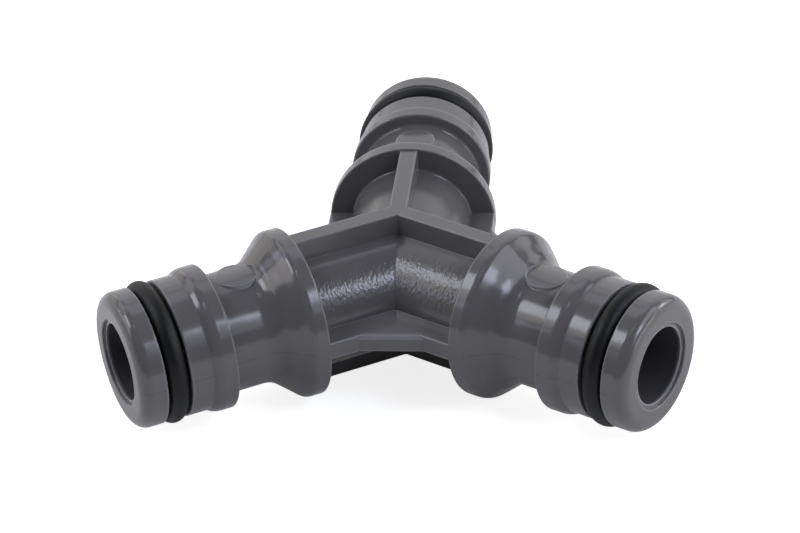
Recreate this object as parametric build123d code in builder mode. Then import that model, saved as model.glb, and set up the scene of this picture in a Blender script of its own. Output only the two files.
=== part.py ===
from build123d import *
import math
import os

# Three-way push-in connector for garden hose couplings: three equal stubs in one plane, moulded
# as one piece with the hub, its ribs and its web, and a rubber O-ring in the groove of each stub.
# Millimetres. The origin is the point where the three bore axes meet, +Z stands square to the
# plane of the arms, and +Y runs out along the back arm.

# Arms
arm_names = ("back", "left", "right")
first_arm_angle = 90.0
arm_count = len(arm_names)

# Lengths along an arm, from the hub outwards
hub_length = 13.2            # centre of the hub to the hub side of the flange
flange_length = 1.8          # thickness of the rim, up to where the flare begins
neck_length = 8.8            # flare and neck together, up to the collar's shoulder
collar_length = 2.2          # straight part of the collar
sleeve_length = 2.6          # from the foot of the collar to the O-ring groove
nose_length = 3.1            # lip between the groove and the end face

# Radii
bore_radius = 4.5
mouth_step = 0.5             # the shallow mouth in the end face is this much wider than the bore
nose_radius = 7.95           # sealing diameter of 15.9
collar_step = 0.5            # the collar that guides the coupling stands this far above the nose
neck_radius = 6.9
tube_radius = 7.0            # tubes that join the three stubs in the hub
rim_radius = 9.85

# O-ring and its groove
o_ring_section = 2.4
o_ring_proud = 0.35          # how far the ring stands above the nose
o_ring_flat = 0.05           # how much the stretched ring flattens against the groove's floor
groove_clearance = 0.2       # on each side of the ring, along the arm

# Edges and blends of the stub
mouth_depth = 0.35
mouth_edge = 0.1             # small bevel around the mouth
end_rounding = 1.45
groove_edge = 0.15
groove_root = 0.3
crown_slope = 36.0           # degrees, from the collar down to the sleeve
crown_rounding = 2.2
crown_foot = 0.3
shoulder_edge = 0.2
shoulder_root = 0.4
flare_slope = 41.0           # degrees, from the flange down to the neck
flare_rounding = 1.2
flare_foot = 2.9
rim_edge = 0.15
tube_root = 0.3

# Flat landing pads on the upper side of each neck
pad_radius = 2.35
pad_station = 20.3           # centre of a pad, along the arm
pad_height = 6.95
pad_root = 1.5               # how deep a pad is rooted in the wall of the neck

# Upright ribs along the arms, above and below the tubes
rib_thickness = 2.05
rib_height = 9.6             # above and below the plane of the arms
rib_edge = 0.15
rib_corner = 0.3

# Flat web between the arms
web_thickness = 2.1
web_reach = 9.8              # outer edge of the web, measured square to the arm beside it
web_corner_chamfer = 4.2     # fills the inner corner where the edges of two arms meet
web_edge = 0.12
web_crest = 0.5              # softer upper edge of the fill between two arms

# Ribs and web run this far into the flange
flange_seat = 0.8

# Radii that follow
mouth_radius = bore_radius + mouth_step
collar_radius = nose_radius + collar_step

# Stations along an arm that follow from the lengths
flange_face = hub_length
flange_front = flange_face + flange_length
shoulder = flange_front + neck_length
crown_length = collar_step / math.tan(math.radians(crown_slope))
crown_start = shoulder + collar_length
crown_end = crown_start + crown_length
groove_inner = crown_end + sleeve_length
groove_outer = groove_inner + o_ring_section + 2 * groove_clearance
end_face = groove_outer + nose_length
flare_length = (rim_radius - neck_radius) / math.tan(math.radians(flare_slope))
groove_floor = nose_radius - (o_ring_section - o_ring_flat - o_ring_proud)

os.makedirs("parts", exist_ok=True)


# One arm without its bore: a solid of revolution, turned about the X axis.
arm_outline = (
    (0, tube_radius),
    (flange_face, tube_radius),
    (flange_face, rim_radius),
    (flange_front, rim_radius),
    (flange_front + flare_length, neck_radius),
    (shoulder, neck_radius),
    (shoulder, collar_radius),
    (crown_start, collar_radius),
    (crown_end, nose_radius),
    (groove_inner, nose_radius),
    (groove_inner, groove_floor),
    (groove_outer, groove_floor),
    (groove_outer, nose_radius),
    (end_face, nose_radius),
    (end_face, 0),
)
arm_blends = (
    tube_root,
    rim_edge,
    flare_rounding,
    flare_foot,
    shoulder_root,
    shoulder_edge,
    crown_rounding,
    crown_foot,
    groove_edge,
    groove_root,
    groove_root,
    groove_edge,
    end_rounding,
)
with BuildPart() as arm:
    with BuildSketch(Plane.XZ):
        with BuildLine():
            FilletPolyline(*arm_outline, radius=arm_blends)
            Polyline((end_face, 0), (0, 0), (0, tube_radius))
        make_face()
    revolve(axis=Axis.X)

# The core that leaves one arm's waterway: the bore, opening into a shallow mouth in the end face.
core_outline = (
    (0, 0),
    (0, bore_radius),
    (end_face - mouth_depth, bore_radius),
    (end_face - mouth_depth, mouth_radius),
    (end_face - mouth_edge, mouth_radius),
    (end_face, mouth_radius + mouth_edge),
    (end_face, 0),
)
with BuildPart() as core:
    with BuildSketch(Plane.XZ):
        with BuildLine():
            Polyline(*core_outline, close=True)
        make_face()
    revolve(axis=Axis.X)

# Three upright ribs that meet at the hub's centre and run into the flanges.
with BuildPart() as ribs:
    with BuildSketch() as rib_plan:
        with PolarLocations(0, arm_count, start_angle=first_arm_angle):
            Rectangle(flange_face + flange_seat, rib_thickness, align=(Align.MIN, Align.CENTER))
        fillet(rib_plan.vertices().group_by(SortBy.DISTANCE)[0], radius=rib_corner)
    extrude(amount=rib_height, both=True)
    fillet(ribs.faces().filter_by(Axis.Z).edges(), radius=rib_edge)

# The web fills the three gaps between the arms at mid-height.
with BuildPart() as web:
    with BuildSketch() as web_plan:
        with PolarLocations(0, arm_count, start_angle=first_arm_angle):
            Rectangle(flange_face + flange_seat, 2 * web_reach, align=(Align.MIN, Align.CENTER))
        chamfer(web_plan.vertices().group_by(SortBy.DISTANCE)[0], length=web_corner_chamfer)
    extrude(amount=web_thickness / 2, both=True)
    crest_edges = web.faces().sort_by(Axis.Z)[-1].edges().group_by(SortBy.DISTANCE)[0]
    fillet(crest_edges, radius=web_crest)
    fillet(web.faces().sort_by(Axis.Z)[0].edges(), radius=web_edge)

# The whole moulding.
with BuildPart() as body:
    with PolarLocations(0, arm_count, start_angle=first_arm_angle):
        add(arm.part)
    add(ribs.part)
    add(web.part)
    with BuildSketch(Plane.XY.offset(pad_height)) as pads:
        with PolarLocations(pad_station, arm_count, start_angle=first_arm_angle):
            Circle(pad_radius)
    extrude(pads.sketch, amount=-pad_root)
    extrude(pads.sketch, amount=rim_radius - pad_height, mode=Mode.SUBTRACT)
    with PolarLocations(0, arm_count, start_angle=first_arm_angle):
        add(core.part, mode=Mode.SUBTRACT)

body.part.label = "body"
export_step(body.part, "parts/body.step")

# One O-ring per stub, stretched into its groove: round, with a narrow flat on the groove's floor.
o_ring_station = (groove_inner + groove_outer) / 2
o_ring_centre_radius = groove_floor + o_ring_section / 2 - o_ring_flat
for index, arm_name in enumerate(arm_names):
    arm_plane = Plane.XZ.rotated((0, 0, first_arm_angle + index * 360 / arm_count))
    with BuildPart() as o_ring:
        with BuildSketch(arm_plane):
            with Locations((o_ring_station, o_ring_centre_radius)):
                Circle(o_ring_section / 2)
            with Locations((o_ring_station, 0)):
                Rectangle(
                    o_ring_section,
                    groove_floor,
                    align=(Align.CENTER, Align.MIN),
                    mode=Mode.SUBTRACT,
                )
        revolve(axis=Axis((0, 0, 0), arm_plane.x_dir))
    o_ring.part.label = f"{arm_name}_o_ring"
    export_step(o_ring.part, f"parts/{arm_name}_o_ring.step")
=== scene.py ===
import math

import bpy
from mathutils import Matrix, Vector


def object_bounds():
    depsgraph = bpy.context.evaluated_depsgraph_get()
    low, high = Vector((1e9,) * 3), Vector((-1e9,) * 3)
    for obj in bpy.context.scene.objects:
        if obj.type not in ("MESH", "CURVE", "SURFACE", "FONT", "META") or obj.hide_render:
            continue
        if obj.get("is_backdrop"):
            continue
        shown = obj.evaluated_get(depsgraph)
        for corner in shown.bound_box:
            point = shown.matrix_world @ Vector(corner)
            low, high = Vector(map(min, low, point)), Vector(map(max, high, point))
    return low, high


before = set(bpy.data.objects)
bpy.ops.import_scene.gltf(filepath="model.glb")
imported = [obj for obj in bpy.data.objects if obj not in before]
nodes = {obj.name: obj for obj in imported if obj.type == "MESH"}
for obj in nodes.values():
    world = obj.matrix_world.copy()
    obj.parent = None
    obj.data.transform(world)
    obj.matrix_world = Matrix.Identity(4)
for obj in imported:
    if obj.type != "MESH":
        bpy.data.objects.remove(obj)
low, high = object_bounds()


# ---------------------------------------------------------------- moulded body
# One grey injection moulding: three stubs, their flanges, and a hub of tubes, ribs and web. Stubs and
# ribs come smooth from the mould, and the hub tubes carry its spark-eroded grain. A fine parting line
# runs round each stub at mid-height, where the two halves of the mould met.

# In degrees and metres. A length runs out along an arm from the hub's centre, and a radius is about the
# arm's axis, or about the centre of a landing pad.
arm_angles = (90, 210, 330)
tube_radius = 0.0070
flange_face = 0.0132
flange_front = 0.0150
neck_radius = 0.0069
bore_radius = 0.0045
mouth_radius = 0.0050
pad_station = 0.0203
pad_radius = 0.00235
pad_height = 0.00695
hair = 0.00001                           # a hair's breadth, for masks that have to catch a face


def srgb(code):
    """Turns a hex colour such as "8090a0" into the linear RGBA that the shader takes."""
    values = [int(code[i:i + 2], 16) / 255 for i in (0, 2, 4)]
    return [v / 12.92 if v <= 0.04045 else ((v + 0.055) / 1.055) ** 2.4 for v in values] + [1.0]


def add(tree, kind, links=None, **settings):
    """Adds a shader node. links gives an input a value, an output, or a node for its first output."""
    node = tree.nodes.new(kind)
    for name, value in settings.items():
        setattr(node, name, value)
    for key, value in (links or {}).items():
        source = value.outputs[0] if isinstance(value, bpy.types.Node) else value
        if isinstance(source, bpy.types.NodeSocket):
            tree.links.new(source, node.inputs[key])
        else:
            node.inputs[key].default_value = source
    return node


def new_material(name):
    """A material with nothing in its node tree yet, and that tree."""
    material = bpy.data.materials.new(name)
    material.use_nodes = True
    material.node_tree.nodes.clear()
    return material, material.node_tree


def band(tree, value, centre, half_width, softness):
    """1 where value lies within half_width of centre, falling to 0 over softness."""
    off = add(tree, "ShaderNodeMath", {0: value, 1: centre}, operation="SUBTRACT")
    off = add(tree, "ShaderNodeMath", {0: off}, operation="ABSOLUTE")
    return add(tree, "ShaderNodeMapRange", {
        "Value": off, "From Min": half_width, "From Max": half_width + softness,
        "To Min": 1.0, "To Max": 0.0,
    }, interpolation_type="SMOOTHSTEP")


def masked(tree, pattern, *masks):
    """A pattern kept where every mask is 1, and gone where any of them is 0."""
    for mask in masks:
        pattern = add(tree, "ShaderNodeMath", {0: pattern, 1: mask}, operation="MULTIPLY")
    return pattern


# Moulded plastic has the semi-gloss that polished steel leaves: lamps show in it as soft highlights,
# a little wavy where it shrank unevenly, and thin painted highlight lines lighten its sharp edges.
plastic, tree = new_material("grey moulded plastic")
place = add(tree, "ShaderNodeTexCoord").outputs["Object"]
x, y, height = add(tree, "ShaderNodeSeparateXYZ", {0: place}).outputs

# Distance out along the nearest arm, level distance across it, and distance from its axis.
alongs = []
for angle in arm_angles:
    turn = math.radians(angle)
    direction = (math.cos(turn), math.sin(turn), 0)
    along = add(tree, "ShaderNodeVectorMath", {0: place, 1: direction}, operation="DOT_PRODUCT")
    alongs.append(along.outputs["Value"])
station = add(tree, "ShaderNodeMath", {0: alongs[0], 1: alongs[1]}, operation="MAXIMUM")
station = add(tree, "ShaderNodeMath", {0: station, 1: alongs[2]}, operation="MAXIMUM")
x_square = add(tree, "ShaderNodeMath", {0: x, 1: x}, operation="MULTIPLY")
flat_square = add(tree, "ShaderNodeMath", {0: y, 1: y, 2: x_square}, operation="MULTIPLY_ADD")
station_square = add(tree, "ShaderNodeMath", {0: station, 1: station}, operation="MULTIPLY")
across_square = add(tree, "ShaderNodeMath", {0: flat_square, 1: station_square}, operation="SUBTRACT")
across_square = add(tree, "ShaderNodeMath", {0: across_square, 1: 0.0}, operation="MAXIMUM")
across = add(tree, "ShaderNodeMath", {0: across_square}, operation="SQRT")
radius_square = add(tree, "ShaderNodeMath", {0: height, 1: height, 2: across_square},
                    operation="MULTIPLY_ADD")
radius = add(tree, "ShaderNodeMath", {0: radius_square}, operation="SQRT")

# Grain lies in the skin of the hub tubes alone, and is deepest about half-way up a tube. Its marks are
# longer round the tube than along it, and a drift from side to side keeps them from mirroring about
# each arm. They are drawn a third of a millimetre wide, coarser than the real ones, so that they show.
grain_width = 1 / 3000
grain_round = 0.6 * tube_radius
side_drift = 0.15
skin_depth = 0.0001
grain_end = flange_face - 0.00005
deepest_angle = 0.72                     # radians above mid-height, about the tube's axis
near_skin = band(tree, radius, centre=tube_radius - skin_depth, half_width=skin_depth, softness=0.00006)
short_of_flange = add(tree, "ShaderNodeMath", {0: station, 1: grain_end}, operation="LESS_THAN")
on_tube = masked(tree, near_skin, short_of_flange)
above = add(tree, "ShaderNodeMath", {0: height}, operation="ABSOLUTE")
round_tube = add(tree, "ShaderNodeMath", {0: above, 1: across}, operation="ARCTAN2")
half_way_up = band(tree, round_tube, centre=deepest_angle, half_width=0.22, softness=0.22)
depth = add(tree, "ShaderNodeMapRange", {"Value": half_way_up, "To Min": 0.12, "To Max": 1.0})
round_way = add(tree, "ShaderNodeMath", {0: round_tube, 1: grain_round}, operation="MULTIPLY")
drift = add(tree, "ShaderNodeMath", {0: alongs[1], 1: alongs[2]}, operation="SUBTRACT")
drift = add(tree, "ShaderNodeMath", {0: drift, 1: side_drift}, operation="MULTIPLY")
tube_place = add(tree, "ShaderNodeCombineXYZ", {"X": station, "Y": round_way, "Z": drift})
grain = add(tree, "ShaderNodeTexNoise", {
    "Vector": tube_place, "Scale": 1 / grain_width, "Detail": 1.5, "Roughness": 0.5,
}, noise_dimensions="3D").outputs["Fac"]
grain = masked(tree, grain, on_tube, depth)

# The melt shrinks unevenly, in ripples 3.6 mm long, and its gloss is smeared in patches of 1.1 mm.
ripple_length = 1 / 280
smear_width = 1 / 900
ripple = add(tree, "ShaderNodeTexNoise", {
    "Vector": place, "Scale": 1 / ripple_length, "Detail": 1.0,
}, noise_dimensions="3D").outputs["Fac"]
smear = add(tree, "ShaderNodeTexNoise", {
    "Vector": place, "Scale": 1 / smear_width, "Detail": 4.0,
}, noise_dimensions="3D").outputs["Fac"]

# The parting line starts at each flange's front and stops just outside the mouth. It is broken where
# the halves of the mould shut tight.
seam_inner = mouth_radius + 0.0002
mid_line = band(tree, height, centre=0.0, half_width=0.00003, softness=0.00004)
past_flange = add(tree, "ShaderNodeMath", {0: station, 1: flange_front}, operation="GREATER_THAN")
outside_mouth = add(tree, "ShaderNodeMath", {0: radius, 1: seam_inner}, operation="GREATER_THAN")
loose = add(tree, "ShaderNodeMapRange", {"Value": smear, "From Min": 0.40, "From Max": 0.50})
seam = masked(tree, mid_line, past_flange, outside_mouth, loose)

# The foot of each flare is a little fuller than a plain arc, so it runs out longer into its neck.
foot_start = 0.0160
foot_middle = 0.0174
foot_end = 0.0198
rise = add(tree, "ShaderNodeMapRange", {
    "Value": station, "From Min": foot_start, "From Max": foot_middle,
}, interpolation_type="SMOOTHSTEP")
fall = add(tree, "ShaderNodeMapRange", {
    "Value": station, "From Min": foot_middle, "From Max": foot_end,
}, interpolation_type="SMOOTHSTEP")
fullness = add(tree, "ShaderNodeMath", {0: rise, 1: fall}, operation="SUBTRACT")

# The flat of a landing pad is slightly domed, with the roundness of the neck under it.
pad_side = add(tree, "ShaderNodeMath", {0: station, 1: pad_station}, operation="SUBTRACT")
pad_square = add(tree, "ShaderNodeMath", {0: pad_side, 1: pad_side, 2: across_square},
                 operation="MULTIPLY_ADD")
pad_reach = add(tree, "ShaderNodeMath", {0: pad_square}, operation="SQRT")
pad_level = band(tree, height, centre=pad_height, half_width=2 * hair, softness=2 * hair)
in_pad = add(tree, "ShaderNodeMath", {0: pad_reach, 1: pad_radius + hair}, operation="LESS_THAN")
dome = masked(tree, across_square, pad_level, in_pad)

# How far each pattern stands out, in metres. The dome falls away as the neck's own circle does. Ripples
# are weaker under the grain of the tubes, and a little stronger at the foot of a flare.
off_grain = add(tree, "ShaderNodeMapRange", {"Value": on_tube, "To Min": 1.0, "To Max": 0.3})
ripple_height = add(tree, "ShaderNodeMapRange", {
    "Value": fullness, "To Min": 0.000030, "To Max": 0.000034,
})
relief = 0.0
for pattern, amount in (
    (grain, 0.000050),
    (masked(tree, ripple, off_grain), ripple_height),
    (seam, 0.000020),
    (dome, -0.5 / neck_radius),
    (fullness, 0.000110),
):
    relief = add(tree, "ShaderNodeMath", {0: pattern, 1: amount, 2: relief}, operation="MULTIPLY_ADD")

# Moulded edges are a little round.
edge_radius = 0.00018
edge = add(tree, "ShaderNodeBevel", {"Radius": edge_radius}, samples=8)
surface = add(tree, "ShaderNodeBump", {
    "Height": relief, "Strength": 1.0, "Distance": 1.0, "Normal": edge,
})

# Painted highlight lines, lighter in colour: sharp edges, the outline of each pad, and the rounded crest
# of the web.
highlight_line_width = 0.00030
pad_line_low = 0.0058
crest_height = 0.00080
crest_inner = tube_radius + 0.0004
crest_end = flange_face - 0.0001
openness = add(tree, "ShaderNodeAmbientOcclusion", {"Distance": highlight_line_width}, samples=8,
               inside=True, only_local=True).outputs["AO"]
sharp = add(tree, "ShaderNodeMapRange", {"Value": openness, "From Min": 0.95, "From Max": 0.50})
pad_rim = band(tree, pad_reach, centre=pad_radius - hair, half_width=0.00004, softness=0.00007)
upper_side = add(tree, "ShaderNodeMath", {0: height, 1: pad_line_low}, operation="GREATER_THAN")
normal = add(tree, "ShaderNodeNewGeometry").outputs["Normal"]
flatness = add(tree, "ShaderNodeSeparateXYZ", {0: normal}).outputs["Z"]
sloping = band(tree, flatness, centre=0.50, half_width=0.44, softness=0.06)
crest_level = band(tree, height, centre=crest_height, half_width=0.00012, softness=0.00022)
on_web = add(tree, "ShaderNodeMath", {0: station, 1: crest_end}, operation="LESS_THAN")
off_tube = add(tree, "ShaderNodeMath", {0: radius, 1: crest_inner}, operation="GREATER_THAN")
painted_highlight = 0.0
for line, lightness in (
    (sharp, 0.8),
    (masked(tree, pad_rim, upper_side), 0.45),
    (masked(tree, crest_level, sloping, on_web, off_tube), 0.50),
):
    painted_line = add(tree, "ShaderNodeMath", {0: line, 1: lightness}, operation="MULTIPLY")
    painted_highlight = add(tree, "ShaderNodeMath", {0: painted_highlight, 1: painted_line}, operation="MAXIMUM")

# Painted shade: the bores are coloured darker, as they see little light, up to just behind their mouths.
bore_end = 0.0345
in_radius = add(tree, "ShaderNodeMath", {0: radius, 1: bore_radius + 2 * hair}, operation="LESS_THAN")
behind_mouth = add(tree, "ShaderNodeMath", {0: station, 1: bore_end}, operation="LESS_THAN")
in_bore = masked(tree, in_radius, behind_mouth)

# Each tone is laid over the ones before it, from the plain grey up.
mix_from, mix_to, mixed = 6, 7, 2        # a colour mix's two inputs and its output, by number
seam_darkness = 0.22
faint_seam = add(tree, "ShaderNodeMath", {0: seam, 1: seam_darkness}, operation="MULTIPLY")
tone = srgb("646264")
for amount, tint in (
    (ripple, "686668"),
    (faint_seam, "3c3c42"),
    # painted highlight lines on sharp edges, pad outlines and the web crest
    (painted_highlight, "a2a2a8"),
    # painted shade inside the bores
    (in_bore, "4b4a4e"),
):
    mix = add(tree, "ShaderNodeMix", {"Factor": amount, mix_from: tone, mix_to: srgb(tint)},
              data_type="RGBA")
    tone = mix.outputs[mixed]

# The grain makes the tubes a trace duller than the rest.
roughness = add(tree, "ShaderNodeMapRange", {"Value": smear, "To Min": 0.12, "To Max": 0.18})
roughness = add(tree, "ShaderNodeMath", {0: on_tube, 1: 0.02, 2: roughness}, operation="MULTIPLY_ADD")
skin = add(tree, "ShaderNodeBsdfPrincipled", {
    "Base Color": tone, "Roughness": roughness, "Normal": surface, "IOR": 1.5,
})
add(tree, "ShaderNodeOutputMaterial", {"Surface": skin})
nodes["body"].data.materials.clear()
nodes["body"].data.materials.append(plastic)


# ---------------------------------------------------------------- O-rings
# Three black nitrile rubber rings. Each is moulded whole and stretched into the groove near its stub's
# mouth, where it seals against the coupling.

# Moulded rubber is near black and satin. Its gloss is uneven from a thin film of grease, in patches of
# 1.4 mm, and from pores drawn 0.25 mm wide, coarser than the real ones, so that they show.
film_width = 1 / 700
pore_width = 1 / 4000
pore_depth = 0.00001

rubber, tree = new_material("black nitrile rubber")
place = add(tree, "ShaderNodeTexCoord").outputs["Object"]
film = add(tree, "ShaderNodeTexNoise", {
    "Vector": place, "Scale": 1 / film_width, "Detail": 3.0,
}, noise_dimensions="3D").outputs["Fac"]
pores = add(tree, "ShaderNodeTexNoise", {
    "Vector": place, "Scale": 1 / pore_width, "Detail": 2.0,
}, noise_dimensions="3D").outputs["Fac"]
surface = add(tree, "ShaderNodeBump", {"Height": pores, "Strength": 0.5, "Distance": pore_depth})
roughness = add(tree, "ShaderNodeMapRange", {"Value": film, "To Min": 0.42, "To Max": 0.58})
skin = add(tree, "ShaderNodeBsdfPrincipled", {
    "Base Color": srgb("101113"), "Roughness": roughness, "Normal": surface, "IOR": 1.5,
    "Specular IOR Level": 0.3,
})
add(tree, "ShaderNodeOutputMaterial", {"Surface": skin})
for name in ("back_o_ring", "left_o_ring", "right_o_ring"):
    nodes[name].data.materials.clear()
    nodes[name].data.materials.append(rubber)


# ---------------------------------------------------------------- lamps
# Two large softboxes, left and right, each made of panels of uneven strength. Pale tent walls stand at
# the sides and behind, and the side of the room behind the camera is dark.

lamp_distance = 0.7


def panel(name, azimuth, elevation, wide, tall, radiance, tint="ffffff"):
    """A soft lamp that faces the object. Angles are degrees: azimuth 0 is the viewer's side, 90 right."""
    turn = math.radians(azimuth)
    tilt = math.radians(elevation)
    toward = Vector((math.sin(turn) * math.cos(tilt), -math.cos(turn) * math.cos(tilt), math.sin(tilt)))
    lamp = bpy.data.lights.new(name, "AREA")
    lamp.shape = "RECTANGLE"
    lamp.size = 2 * lamp_distance * math.tan(math.radians(wide / 2)) * math.cos(tilt)
    lamp.size_y = 2 * lamp_distance * math.tan(math.radians(tall / 2))
    lamp.energy = radiance * math.pi * lamp.size * lamp.size_y
    lamp.color = srgb(tint)[:3]
    holder = bpy.data.objects.new(name, lamp)
    holder.location = toward * lamp_distance
    holder.rotation_euler = toward.to_track_quat("Z", "Y").to_euler()
    holder.visible_camera = False
    bpy.context.scene.collection.objects.link(holder)


panel("left softbox top", -80, 52.5, 34, 14, 6.8, "f0f4ff")
panel("left softbox bottom", -80, 39.0, 34, 13, 2.4, "fff9f4")
panel("left softbox skirt", -85, 28.5, 48, 10, 2.8, "e4eaff")
panel("left low panel", -75, 10, 30, 20, 0.7, "fff8ee")
panel("left wall", -120, 14, 60, 26, 1.0, "fff9f0")
panel("left rear wall", -122, 47, 44, 26, 1.45)
panel("right softbox", 88, 44, 62, 26, 2.4, "f2f5ff")
panel("right softbox lamp", 61, 42, 22, 14, 6.2, "dfe8ff")
panel("right softbox edge", 50, 37, 12, 28, 1.6, "e4eaff")
panel("right low panel", 78, 9, 36, 18, 2.5, "fffaf4")
panel("right wall", 118, 16, 44, 26, 1.5)
panel("right rear lamp", 118, 18, 12, 10, 6.0)
panel("rear wall", 180, 24, 70, 46, 0.95)
panel("rear roof", 180, 60, 60, 20, 1.1, "f2f5ff")
panel("ceiling strip", -30, 78, 16, 10, 5.0)


# ---------------------------------------------------------------- table
# A flat sheet of white table paper, which the connector rests on. The camera sees it glow near white,
# and pure white further out, so that it meets the backdrop with no line. It keeps the shadow.

half_table = 2.0
table_height = low.z
corners = [(x * half_table, y * half_table, table_height) for x, y in ((-1, -1), (1, -1), (1, 1), (-1, 1))]
table = bpy.data.meshes.new("table")
table.from_pydata(corners, [], [(0, 1, 2, 3)])

# Reflections in the object see only a faint part of the glow.
near_glow = 0.83
mirrored_glow = 0.12
fade_start = 0.10
fade_end = 0.40
paper, tree = new_material("white table paper")
place = add(tree, "ShaderNodeTexCoord").outputs["Object"]
away = add(tree, "ShaderNodeVectorMath", {0: place}, operation="LENGTH").outputs["Value"]
watched = add(tree, "ShaderNodeMapRange", {
    "Value": away, "From Min": fade_start, "From Max": fade_end, "To Min": near_glow, "To Max": 1.0,
})
ray = add(tree, "ShaderNodeLightPath").outputs
mirrored = add(tree, "ShaderNodeMath", {0: ray["Is Glossy Ray"], 1: ray["Is Transmission Ray"]},
               operation="MAXIMUM")
mirrored = add(tree, "ShaderNodeMath", {0: mirrored, 1: mirrored_glow}, operation="MULTIPLY")
strength = add(tree, "ShaderNodeMath", {0: ray["Is Camera Ray"], 1: watched, 2: mirrored},
               operation="MULTIPLY_ADD")
sheet = add(tree, "ShaderNodeBsdfDiffuse", {"Color": srgb("f4f4f4")})
glow = add(tree, "ShaderNodeEmission", {"Color": srgb("ffffff"), "Strength": strength})
lit = add(tree, "ShaderNodeAddShader", {0: sheet, 1: glow})
add(tree, "ShaderNodeOutputMaterial", {"Surface": lit})

table.materials.append(paper)
table_top = bpy.data.objects.new("table", table)
bpy.context.scene.collection.objects.link(table_top)
table_top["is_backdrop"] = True


# ---------------------------------------------------------------- backdrop
# Plain white all round, past the edge of the table. Only the camera sees it, so it puts no light on
# the object.

world = bpy.data.worlds.new("studio")
world.use_nodes = True
tree = world.node_tree
tree.nodes.clear()
seen = add(tree, "ShaderNodeLightPath").outputs["Is Camera Ray"]
white = add(tree, "ShaderNodeBackground", {"Color": srgb("ffffff"), "Strength": seen})
add(tree, "ShaderNodeOutputWorld", {"Surface": white})
bpy.context.scene.world = world


# ---------------------------------------------------------------- camera
# A long lens in front of the connector, above it and a little to its right, rolled slightly. The two
# directions are unit vectors: the view's right, and the way back from the object to the camera.

camera_distance = 0.37978
right = Vector((0.99389, 0.09509, -0.05603))
back = Vector((0.11031, -0.83866, 0.53337))
up = back.cross(right)

lens = bpy.data.cameras.new("camera")
lens.sensor_width = 36.0
lens.lens = 147.61
lens.shift_x = -0.0030
lens.shift_y = 0.0167
lens.clip_start = 0.01
viewer = bpy.data.objects.new("camera", lens)
turned = Matrix((right, up, back)).transposed().to_4x4()
viewer.matrix_world = Matrix.Translation(back * camera_distance) @ turned
bpy.context.scene.collection.objects.link(viewer)
bpy.context.scene.camera = viewer
bpy.context.scene.view_settings.view_transform = "Standard"

low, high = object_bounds()
